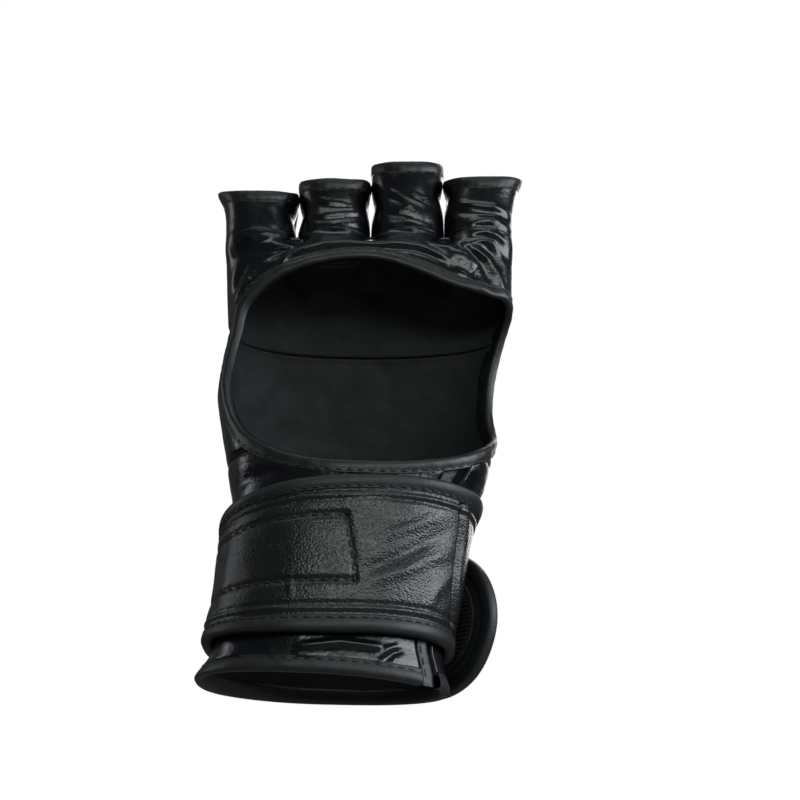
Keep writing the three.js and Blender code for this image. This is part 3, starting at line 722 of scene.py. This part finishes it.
def cuff_place(u, v, out):
    low = mouth(SLIT_AT_MOUTH - u * CUFF_TURN) + TAPE_WIDTH - 1
    at_seam = SLIT_AT_SEAM - u * CUFF_TURN
    wrapped = np.where(at_seam < -200, at_seam + 360, at_seam)
    high = np.minimum(CUFF_SEAM, np.interp(wrapped, LOWER[:, 0], LOWER[:, 1], left=1e3, right=1e3))
    z = mix(low, high, v)
    around = slit_at(z) - u * CUFF_TURN
    return shell(around, z, out, 0.35, seam_dip(CUFF_SEAM - z))


panel("cuff_leather", 320, 88, cuff_place, SHELL, ["cuff"])


def hand_back_place(u, v, out):
    z = mix(CUFF_SEAM, KNUCKLE_SEAM, v)
    right = np.interp(z, THUMB[:, 1], THUMB[:, 0])
    left = np.interp(z, OUTER[:, 1], OUTER[:, 0]) + 360
    around = mix(right, left, u)
    return shell(around, z, out, 0.3, seam_dip(z - CUFF_SEAM) + seam_dip(KNUCKLE_SEAM - z))


panel("hand_back_leather", 220, 70, hand_back_place, SHELL, ["hand_back"])


def upper_start(around):
    """Height where the leather above the opening starts."""
    return np.maximum(KNUCKLE_SEAM, np.interp(around, UPPER[:, 0], UPPER[:, 1], left=0, right=0))


def knuckle_place(turn):
    def place(u, v, out):
        around = turn * u
        z = mix(upper_start(around), WEB_HEIGHT, v)
        side = np.minimum(u, 1 - u) * PALM_WIDTH
        smooth = knuckles(around, z, LEATHER)
        seams = seam_dip(side, 0.35) * ease(WEB_HEIGHT - z, 0, 2)
        seams = seams + (z < KNUCKLE_SEAM + 6) * seam_dip(z - KNUCKLE_SEAM)
        return knuckles(around, z, LEATHER + out + worn(smooth, around, 0.15) - seams)
    return place


panel("knuckle_leather", 170, 48, knuckle_place(180), SHELL, ["knuckle_back"])
panel("palm_band_leather", 340, 76, knuckle_place(-180), SHELL, ["palm_band"])


def loop_place(finger):
    def place(u, v, out):
        around = 360 * u
        high = rim(finger, around) - RIM_TAPE + 1.2
        z = mix(WEB_HEIGHT, high, v)
        smooth = loop(finger, around, z, LEATHER)
        calmer = np.where(np.sin(np.radians(around)) < 0, 1, 0.6)
        lift = worn(smooth, around, 0.15) * calmer * ease(high - z, -2, 3)
        return loop(finger, around, z, LEATHER + out + lift)
    return place


for finger in FINGERS:
    name = finger["name"]
    panel(name + "_loop_leather", 190, 56, loop_place(finger), SHELL, [name + "_loop"])


# Bindings: where their row of stitches sinks in, in millimetres from the free edge
GROOVE = 3.7
RIM_GROOVE = 4.6
STRAP_GROOVE = 4.0


def profile(share, width, thick, groove):
    """Section of a folded binding: distance from its free edge and height off the middle of the leather."""
    turn = 2 * math.pi * share
    c, s = np.cos(turn), np.sin(turn)
    across = width / 2 * (1 - np.sign(c) * np.abs(c) ** 0.55)
    high = thick / 2 * np.sign(s) * np.abs(s) ** 0.7
    sunk = np.where(s > 0, 0.38 * np.exp(-(((across - groove) / 0.5) ** 2)), 0)
    return across, high - sunk


def binding(name, stations, place, nodes, material, width=TAPE_WIDTH, thick=LEATHER + 2 * TAPE_RAISE,
            groove=GROOVE):
    """A folded strip of leather along an edge: place(u, across, high) lays it."""
    def laid_out(u, v, out):
        across, high = profile(v, width, thick, groove)
        wave = 0.06 * np.sin(u * 97) * np.sin(u * 61 + 1)
        return place(u, across, high * (1 + wave) + np.where(high > 0, out, -out))
    return finished(name, laid(stations, 30, laid_out, closed=True), material, nodes)


STITCH_PITCH = 3.3
STITCH_LENGTH = 2.3
STITCH_RADIUS = 0.3
STITCH_HIGH = 1.25
RIM_STITCH_HIGH = 1.1
STRAP_STITCH_HIGH = 1.45


def on_line(at, walked, values):
    """Values at a length along a line."""
    return np.array([np.interp(at, walked, values[:, i]) for i in range(3)])


def stitches(name, runs):
    """Sunken stitches along runs: each run lists points and outward directions at even steps."""
    bm = bmesh.new()
    for points, outward in runs:
        lengths = np.linalg.norm(np.diff(points, axis=0), axis=1)
        walked = np.concatenate(([0], np.cumsum(lengths)))
        count = int(walked[-1] / STITCH_PITCH)
        for k in range(count):
            at = (k + 0.5) * walked[-1] / count
            ends = [on_line(at + way * STITCH_LENGTH / 2, walked, points) for way in (-1, 1)]
            up = on_line(at, walked, outward)
            ahead = Vector(ends[1] - ends[0]).normalized()
            side = Vector(up).cross(ahead).normalized()
            frame_matrix = Matrix((ahead, side, ahead.cross(side))).transposed().to_4x4()
            middle = Vector((ends[0] + ends[1]) / 2) * MM
            size = Matrix.Diagonal((STITCH_LENGTH / 2 * MM, STITCH_RADIUS * 1.2 * MM, STITCH_RADIUS * MM, 1))
            matrix = Matrix.Translation(middle) @ frame_matrix @ size
            bmesh.ops.create_uvsphere(bm, u_segments=8, v_segments=6, radius=1, matrix=matrix)
    return finished(name, bm, THREAD)


def run_of(place, along, across, high):
    """Points and outward directions of a run of stitches on what place lays."""
    across = np.full(along.shape, across)
    points = place(along, across, np.full(along.shape, high))
    return points, place(along, across, np.full(along.shape, high + 1)) - points


def round_edge(at, values):
    """Values at places of the opening's edge, which closes on itself."""
    return np.interp(at, np.arange(len(EDGE) + 1), np.append(values, values[0]))


def opening_place(start, stop):
    """Lays a strip along the opening's edge from one of its places to another."""
    count = (stop - start) % len(EDGE)

    def place(u, across, high):
        at = (start + u * count) % len(EDGE)
        around = round_edge(at, EDGE[:, 0]) + across * round_edge(at, EDGE_STEP[:, 0])
        z = round_edge(at, EDGE[:, 1]) + across * round_edge(at, EDGE_STEP[:, 1])
        smooth = body(around, z, LEATHER)
        lift = 0.5 * worn(smooth, around, 0.15)
        return body(around, z, LEATHER / 2 + high + lift)
    return place


def edge_place(around, is_upper):
    middle = EDGE[:, 1].mean()
    side = EDGE[:, 1] > middle if is_upper else EDGE[:, 1] <= middle
    return int(np.argmin(np.where(side, np.abs(EDGE[:, 0] - around), 1e9)))


INDEX_JOIN, HEEL_STEP = edge_place(PALM_JOIN, True), edge_place(HEEL_JOIN, False)
stitch_runs = []
for name, start, stop in (("palm", HEEL_STEP, INDEX_JOIN), ("heel", INDEX_JOIN, HEEL_STEP)):
    place = opening_place(start, stop)
    binding(name + "_binding", 420, place, [name + "_tape"], RIM_PAINTED_SHADE)
    stitch_runs.append(run_of(place, np.linspace(0, 1, 300), GROOVE, STITCH_HIGH))


def hem_place(u, across, high):
    z = mouth(SLIT_AT_MOUTH - u * CUFF_TURN) + across
    around = slit_at(z) - u * CUFF_TURN
    smooth = body(around, z, LEATHER)
    return body(around, z, LEATHER / 2 + high + 0.3 * ripple(smooth, 30, 8))


binding("cuff_hem_binding", 320, hem_place, ["cuff_hem"], BINDING)
stitch_runs.append(run_of(hem_place, np.linspace(0.01, 0.99, 260), GROOVE, STITCH_HIGH))


def slit_place(u, across, high):
    per_mm = turn_of(1, SLIT_AT_SEAM, CUFF_SEAM / 2)
    turn = (CLEARANCE + TAPE_WIDTH - across) * per_mm
    top = np.interp(SLIT_AT_SEAM + turn, LOWER[:, 0], LOWER[:, 1])
    z = u * (top - 1)
    return body(slit_at(z) + turn, z, LEATHER / 2 + high)


binding("slit_binding", 90, slit_place, ["slit_tape"], RIM_PAINTED_SHADE)
stitch_runs.append(run_of(slit_place, np.linspace(0.03, 0.97, 80), GROOVE, STITCH_HIGH))

for finger in FINGERS:
    def rim_place(u, across, high, finger=finger):
        around = 360 * u
        smooth = loop(finger, around, rim(finger, around) - across, LEATHER)
        lift = 0.25 * ripple(smooth, 14, 12)
        top = rim(finger, around) + 0.35 * ripple(smooth, 17, 21)
        return loop(finger, around, top - across, LEATHER / 2 + high + lift)
    name = finger["name"]
    binding(name + "_rim_binding", 170, rim_place, [name + "_rim"], RIM_PAINTED_SHADE, RIM_TAPE, LEATHER + 2 * RIM_RAISE,
            RIM_GROOVE)
    stitch_runs.append(run_of(rim_place, np.linspace(0, 1, 140), RIM_GROOVE, RIM_STITCH_HIGH))


# Wrist strap
def angle_along(around):
    """Length along the strap at an angle round the wrist."""
    return WOUND * (STRAP_FROM - around) / (STRAP_FROM - STRAP_LEAVES)


# The stitched box: its ends along the strap, its rows off the middle line, and how its right end leans
STITCHED = dict(right=angle_along(-85), left=angle_along(-205), top=11.2, bottom=-8.8, lean=0.2)
SEWN_DEPTH = 0.6
SEWN_HIGH = 0.12


def near_line(value, line, wide=0.9):
    return np.exp(-(((value - line) / wide) ** 2))


def strap_sink(along, offset):
    """How far the strap's leather is drawn in along its stitched box and beside its bindings."""
    right, left = STITCHED["right"] + STITCHED["lean"] * offset, STITCHED["left"]
    inside_along = ease(along, right - 1, right) * ease(-along, -left - 1, -left)
    inside_offset = ease(offset, STITCHED["bottom"] - 1, STITCHED["bottom"])
    inside_offset = inside_offset * ease(-offset, -STITCHED["top"] - 1, -STITCHED["top"])
    rows = near_line(offset, STITCHED["top"]) + near_line(offset, STITCHED["bottom"])
    ends = near_line(along, right) + near_line(along, left)
    inset = STRAP_ROUND - np.abs(offset)
    bead = 0.5 * near_line(inset, 0, 0.8)
    bead = bead - 0.35 * near_line(inset, 1.3, 0.6)
    bead = bead + 0.5 * near_line(inset, 2.6, 0.6)
    sewn = SEWN_DEPTH * (rows * inside_along + ends * inside_offset)
    return sewn + bead * ease(STRAP_TOTAL - STRAP_ROUND - along, 0, 4)


def strap_surface(along, offset, high):
    """Points of the strap's outer face with its folds."""
    smooth = strap(along, offset, np.full(along.shape, STRAP_THICKNESS))
    around = mix(STRAP_FROM, STRAP_LEAVES, np.clip(along / WOUND, 0, 1))
    front = ease(-np.sin(np.radians(around)), -0.05, 0.3) * (along < WOUND * 0.8)
    lift = front * folds_at(smooth, STRAP_FOLDS) + 0.12 * ripple(smooth, 24, 5) + 0.04 * ripple(smooth, 8, 6)
    return strap(along, offset, STRAP_THICKNESS + lift - strap_sink(along, offset) + high)


def strap_place(inset=0.0, start=0.0):
    """Lays a sheet on the strap, inset from its outline and rounded at its free end."""
    radius = STRAP_ROUND - inset

    def spot(u, v):
        length = STRAP_TOTAL - STRAP_ROUND - start
        total = length + radius * math.pi / 2
        walked = u * total
        turn = np.clip((walked - length) / radius, 0, math.pi / 2 - 0.02)
        along = start + np.minimum(walked, length) + radius * np.sin(turn)
        return along, (2 * v - 1) * radius * np.cos(turn)
    return spot


field_spot = strap_place(-0.8)


def field_place(u, v, out):
    along, offset = field_spot(u, v)
    return strap_surface(along, offset, out)


panel("strap_leather", 560, 62, field_place, STRAP, ["strap"], STRAP_THICKNESS - 0.2)


def strap_edge_place(u, across, high):
    """Lays a strip along the strap's top edge, round its free end and back along its lower edge."""
    straight = STRAP_TOTAL - STRAP_ROUND
    radius = STRAP_ROUND + CLEARANCE + TAPE_WIDTH - across
    bend = math.pi * (STRAP_ROUND + TAPE_WIDTH / 2)
    walked = u * (2 * straight + bend)
    turn = np.clip((walked - straight) / bend, 0, 1) * math.pi
    back = np.maximum(walked - straight - bend, 0)
    along = np.minimum(walked, straight) - back + radius * np.sin(turn)
    offset = radius * np.cos(turn)
    smooth = strap(along, offset, np.full(along.shape, STRAP_THICKNESS))
    return strap(along, offset, STRAP_THICKNESS / 2 + high + 0.18 * ripple(smooth, 22, 9))


binding("strap_binding", 900, strap_edge_place, ["strap_tape"], BINDING, TAPE_WIDTH,
        STRAP_THICKNESS + 2 * TAPE_RAISE, STRAP_GROOVE)
stitch_runs.append(run_of(strap_edge_place, np.linspace(0, 1, 700), STRAP_GROOVE, STRAP_STITCH_HIGH))
for ends in (
    ((STITCHED["right"], STITCHED["top"]), (STITCHED["left"], STITCHED["top"])),
    ((STITCHED["right"], STITCHED["bottom"]), (STITCHED["left"], STITCHED["bottom"])),
    ((STITCHED["right"], STITCHED["bottom"] - 1), (STITCHED["right"], STITCHED["top"] + 2.5)),
    ((STITCHED["left"], STITCHED["bottom"]), (STITCHED["left"], STITCHED["top"])),
):
    share = np.linspace(0, 1, 160)
    along, offset = (mix(a, b, share) for a, b in zip(*ends))
    along = along + STITCHED["lean"] * offset * (along == STITCHED["right"])
    stitch_runs.append(run_of(strap_surface, along, offset, SEWN_HIGH))
stitches("black_stitches", stitch_runs)

# Hook patch on the inner face of the free end
PATCH_INSET = 1.5
patch_spot = strap_place(PATCH_INSET, WOUND + CLEARANCE)


def patch_place(u, v, out):
    along, offset = patch_spot(u, v)
    return strap(along, offset, -CLEARANCE - PATCH_THICKNESS - out)


panel("hook_patch_ground", 40, 60, patch_place, HOOKS, ["hook_patch"], PATCH_THICKNESS)


def hooks():
    """Rows of stiff little hooks that stand off the patch."""
    bm = bmesh.new()
    pitch = 1.3
    rows = int(2 * (STRAP_ROUND - PATCH_INSET) / pitch)
    columns = int(FLAP_LENGTH / pitch)
    for row in range(rows):
        for column in range(columns):
            offset = (row + 0.5 - rows / 2) * pitch
            along = WOUND + 1 + (column + 0.5 * (row % 2)) * pitch
            limit = math.sqrt(max((STRAP_ROUND - PATCH_INSET - 0.8) ** 2 - offset ** 2, 0))
            if along > STRAP_TOTAL - STRAP_ROUND + limit:
                continue
            base = strap(np.array([along]), np.array([offset]), -CLEARANCE - PATCH_THICKNESS)[0]
            tip = strap(np.array([along]), np.array([offset]), -CLEARANCE - PATCH_THICKNESS - 0.9)[0]
            turned = Vector(tip - base).to_track_quat("Z", "Y").to_matrix().to_4x4()
            matrix = Matrix.Translation(Vector((base + tip) / 2) * MM) @ turned
            bmesh.ops.create_cone(bm, cap_ends=True, segments=5, radius1=0.28 * MM, radius2=0.2 * MM,
                                  depth=0.9 * MM, matrix=matrix)
    return finished("hook_bristles", bm, HOOKS)


hooks()


# Padding
def pillow(node, voxel, swell, cap):
    """A foam pad under leather: the solid, remeshed and blown up a little as cloth, then smoothed."""
    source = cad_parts[node]
    bm = bmesh.new()
    bm.from_mesh(source.data)
    bmesh.ops.transform(bm, matrix=source.matrix_world, verts=bm.verts)
    bmesh.ops.remove_doubles(bm, verts=bm.verts[:], dist=1e-5)
    piece = finished(node + "_cover", bm, PADDING, [node])
    mesher = piece.modifiers.new("even", "REMESH")
    mesher.mode = "VOXEL"
    mesher.voxel_size = voxel * MM
    bake(piece)
    blow_up(piece, swell, cap)
    smoother = piece.modifiers.new("soft", "SMOOTH")
    smoother.factor, smoother.iterations = 0.5, 4
    finer = piece.modifiers.new("fine", "SUBSURF")
    finer.levels = finer.render_levels = 1
    bake(piece)
    for polygon in piece.data.polygons:
        polygon.use_smooth = True
    return piece


def bake(piece):
    """Applies a piece's modifiers to its mesh."""
    graph = bpy.context.evaluated_depsgraph_get()
    made = bpy.data.meshes.new_from_object(piece.evaluated_get(graph))
    old = piece.data
    piece.modifiers.clear()
    piece.data = made
    made.name = old.name
    bpy.data.meshes.remove(old)


def blow_up(piece, swell, cap):
    """Swells a pad as cloth under pressure, and holds every point within cap mm of where it was."""
    before = np.array([v.co[:] for v in piece.data.vertices])
    cloth = piece.modifiers.new("cloth", "CLOTH")
    cloth.settings.use_pressure = True
    cloth.settings.uniform_pressure_force = swell
    cloth.settings.effector_weights.gravity = 0
    cloth.point_cache.frame_start, cloth.point_cache.frame_end = 1, 20
    for step in range(1, 21):
        scene.frame_set(step)
    bake(piece)
    after = np.array([v.co[:] for v in piece.data.vertices])
    move = after - before
    length = np.linalg.norm(move, axis=1, keepdims=True)
    kept = before + move * np.minimum(1, cap * MM / np.maximum(length, 1e-9))
    for vertex, point in zip(piece.data.vertices, kept):
        vertex.co = point
    scene.frame_set(1)


for node in ("hand_pad", "knuckle_pad", "little_pad", "ring_pad", "middle_pad", "index_pad"):
    pillow(node, 2.0, 4.0, 1.2)

# Studio, in metres: the floor and the room look paler than they shine on the glove
FLOOR_DROP = 0.26
FLOOR_REACH = 6
FLOOR_SEEN = (0.86, 0.86, 0.87, 1)
FLOOR_SHADE = (0.25, 0.25, 0.26, 1)
ROOM_SEEN = (1, 1, 1, 1)
ROOM_SHADE = (0.9, 0.95, 1, 1)
ROOM_LIGHT = 0.09
LAMPS_AIM = (0.02, 0, 0.09)
# Soft lamps: degrees to the thumb side and up, metres away, wide and tall, watts and colour
LIGHTS = [
    ("window", 70, 12, 0.9, 0.95, 0.38, 7.5, (0.86, 0.93, 1.0)),
    ("front", 9, 13, 0.9, 0.7, 0.22, 2.6, (0.88, 1.0, 0.96)),
    ("left", -98, 16, 0.9, 0.18, 0.6, 0.8, (0.92, 0.96, 1.0)),
    ("top", 0, 66, 0.9, 1.0, 0.22, 1.5, (0.95, 0.98, 1.0)),
    ("back", 170, 35, 0.9, 0.7, 0.7, 4.5, (1.0, 1.0, 1.0)),
]


def studio():
    """A pale floor well below the glove, a bright even room and soft lights."""
    bm = bmesh.new()
    bmesh.ops.create_grid(bm, x_segments=1, y_segments=1, size=FLOOR_REACH)
    bmesh.ops.translate(bm, verts=bm.verts, vec=(0, 0, -FLOOR_DROP))
    mesh = bpy.data.meshes.new("floor")
    bm.to_mesh(mesh)
    bm.free()
    floor = bpy.data.objects.new("floor", mesh)
    bpy.context.collection.objects.link(floor)
    paint = bpy.data.materials.new("pale_floor")
    paint.use_nodes = True
    nodes, links = paint.node_tree.nodes, paint.node_tree.links
    ground, glow, pick, ray = (nodes.new(kind) for kind in (
        "ShaderNodeBsdfDiffuse", "ShaderNodeEmission", "ShaderNodeMixShader", "ShaderNodeLightPath"))
    ground.inputs["Color"].default_value = FLOOR_SHADE
    glow.inputs["Color"].default_value = FLOOR_SEEN
    links.new(ray.outputs["Is Camera Ray"], pick.inputs["Fac"])
    links.new(ground.outputs["BSDF"], pick.inputs[1])
    links.new(glow.outputs["Emission"], pick.inputs[2])
    links.new(pick.outputs["Shader"], nodes["Material Output"].inputs["Surface"])
    mesh.materials.append(paint)
    world = bpy.data.worlds.new("room")
    world.use_nodes = True
    nodes, links = world.node_tree.nodes, world.node_tree.links
    room = nodes["Background"]
    room.inputs["Color"].default_value = ROOM_SHADE
    room.inputs["Strength"].default_value = ROOM_LIGHT
    white = nodes.new("ShaderNodeBackground")
    white.inputs["Color"].default_value = ROOM_SEEN
    seen, choice = nodes.new("ShaderNodeLightPath"), nodes.new("ShaderNodeMixShader")
    links.new(seen.outputs["Is Camera Ray"], choice.inputs["Fac"])
    links.new(room.outputs["Background"], choice.inputs[1])
    links.new(white.outputs["Background"], choice.inputs[2])
    links.new(choice.outputs["Shader"], nodes["World Output"].inputs["Surface"])
    scene.world = world
    scene.view_settings.view_transform = "Standard"
    aim = Vector(LAMPS_AIM)
    for name, turn, rise, away, wide, tall, power, colour in LIGHTS:
        turn, rise = math.radians(turn), math.radians(rise)
        way = Vector((math.sin(turn) * math.cos(rise), -math.cos(turn) * math.cos(rise), math.sin(rise)))
        data = bpy.data.lights.new(name, "AREA")
        data.shape, data.size, data.size_y, data.energy = "RECTANGLE", wide, tall, power
        data.color = colour
        lamp = bpy.data.objects.new(name, data)
        lamp.location = aim + way * away
        lamp.rotation_euler = (-way).to_track_quat("-Z", "Y").to_euler()
        bpy.context.collection.objects.link(lamp)


def camera():
    data = bpy.data.cameras.new("camera")
    data.lens, data.sensor_width = LENS, SENSOR
    data.clip_start, data.clip_end = 0.01, 20
    eye = bpy.data.objects.new("camera", data)
    eye.location = Vector(CAMERA_AT) * MM
    eye.rotation_euler = (math.pi / 2 + CAMERA_RISE, 0, 0)
    bpy.context.collection.objects.link(eye)
    scene.camera = eye


studio()
camera()
